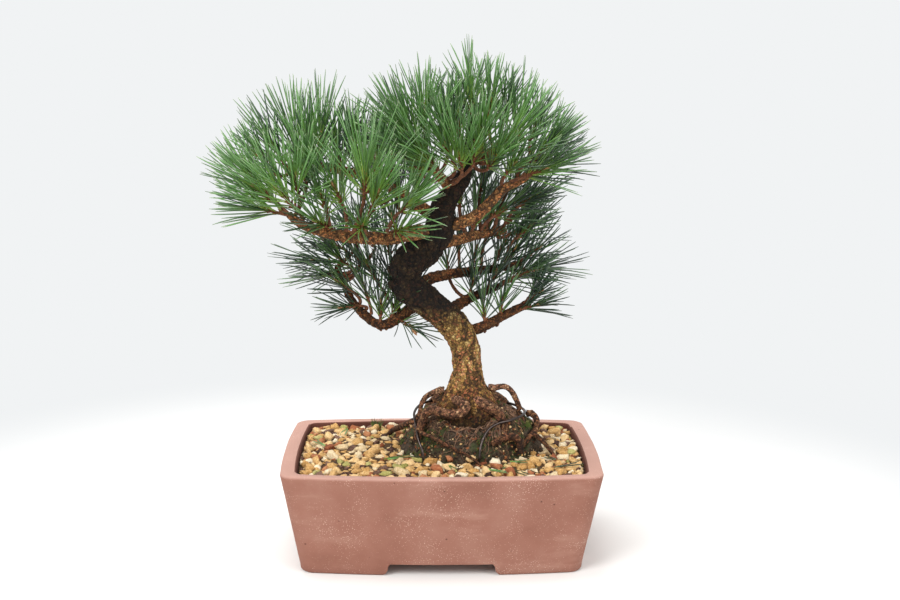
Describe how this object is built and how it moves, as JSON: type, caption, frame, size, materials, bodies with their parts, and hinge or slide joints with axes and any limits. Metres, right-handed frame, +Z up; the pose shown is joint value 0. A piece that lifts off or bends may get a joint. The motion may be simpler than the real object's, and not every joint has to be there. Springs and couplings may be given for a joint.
{
  "type": "bonsai pine in a pot",
  "caption": "Small pine bonsai with a curved trunk, exposed roots and needle pads, growing in gravel in an oblong unglazed footed pot.",
  "frame": {"origin": "centre of the bounding box in X and Y, on the surface that the pot's feet stand on", "axes": "+Z up the tree; +X along the pot's length, to the right from the front; -Y to the front"},
  "size_m": [0.3002, 0.1934, 0.3893],
  "materials": {
    "stoneware": "unglazed fired clay, matt, fine pale sand specks and lime bloom",
    "mesh_plastic": "moulded black mesh",
    "clip_wire": "bare drawn wire",
    "tie_wire": "anodised dark brown wire, satin",
    "soil": "damp granular soil mix",
    "gravel": "pumice and baked clay grit, mixed ochre, rust, cream and dark grains",
    "root_ball": "dark fibrous old soil and fine roots with moss",
    "trunk_bark": "flaky plated pine bark, ochre with rust plates and dark fissures",
    "root_bark": "reddish brown root bark, finely wrinkled",
    "branch_bark": "scaly brown branch bark",
    "needles": "waxy green pine needles in pairs, with brown sheaths"
  },
  "bodies": {
    "root": {"branch_back_right": "branch_bark", "branch_crook_right": "branch_bark", "branch_crown_left": "branch_bark", "branch_crown_right": "branch_bark", "branch_high_right": "branch_bark", "branch_left": "branch_bark", "branch_left_back": "branch_bark", "branch_low_left": "branch_bark", "branch_low_right": "branch_bark", "branch_middle_right": "branch_bark", "drain_mesh_left": "mesh_plastic", "drain_mesh_right": "mesh_plastic", "gravel_layer": "gravel", "mesh_clip_left": "clip_wire", "mesh_clip_right": "clip_wire", "needles_back_right": "needles", "needles_crown_front": "needles", "needles_crown_left": "needles", "needles_crown_right": "needles", "needles_crown_top": "needles", "needles_high_right": "needles", "needles_left_back": "needles", "needles_left_front": "needles", "needles_left_tip": "needles", "needles_left_top": "needles", "needles_low_left": "needles", "needles_low_left_tip": "needles", "needles_low_right": "needles", "needles_middle_right": "needles", "pot": "stoneware", "root_back_left": "root_bark", "root_back_right": "root_bark", "root_ball": "root_ball", "root_front_curl": "root_bark", "root_front_long": "root_bark", "root_front_ridge": "root_bark", "root_left_arch": "root_bark", "root_left_low": "root_bark", "root_right_arch": "root_bark", "root_right_knee": "root_bark", "root_right_knob": "root_bark", "root_right_thin": "root_bark", "soil_bed": "soil", "tie_wire": "tie_wire", "trunk": "trunk_bark"}
  },
  "joints": []
}
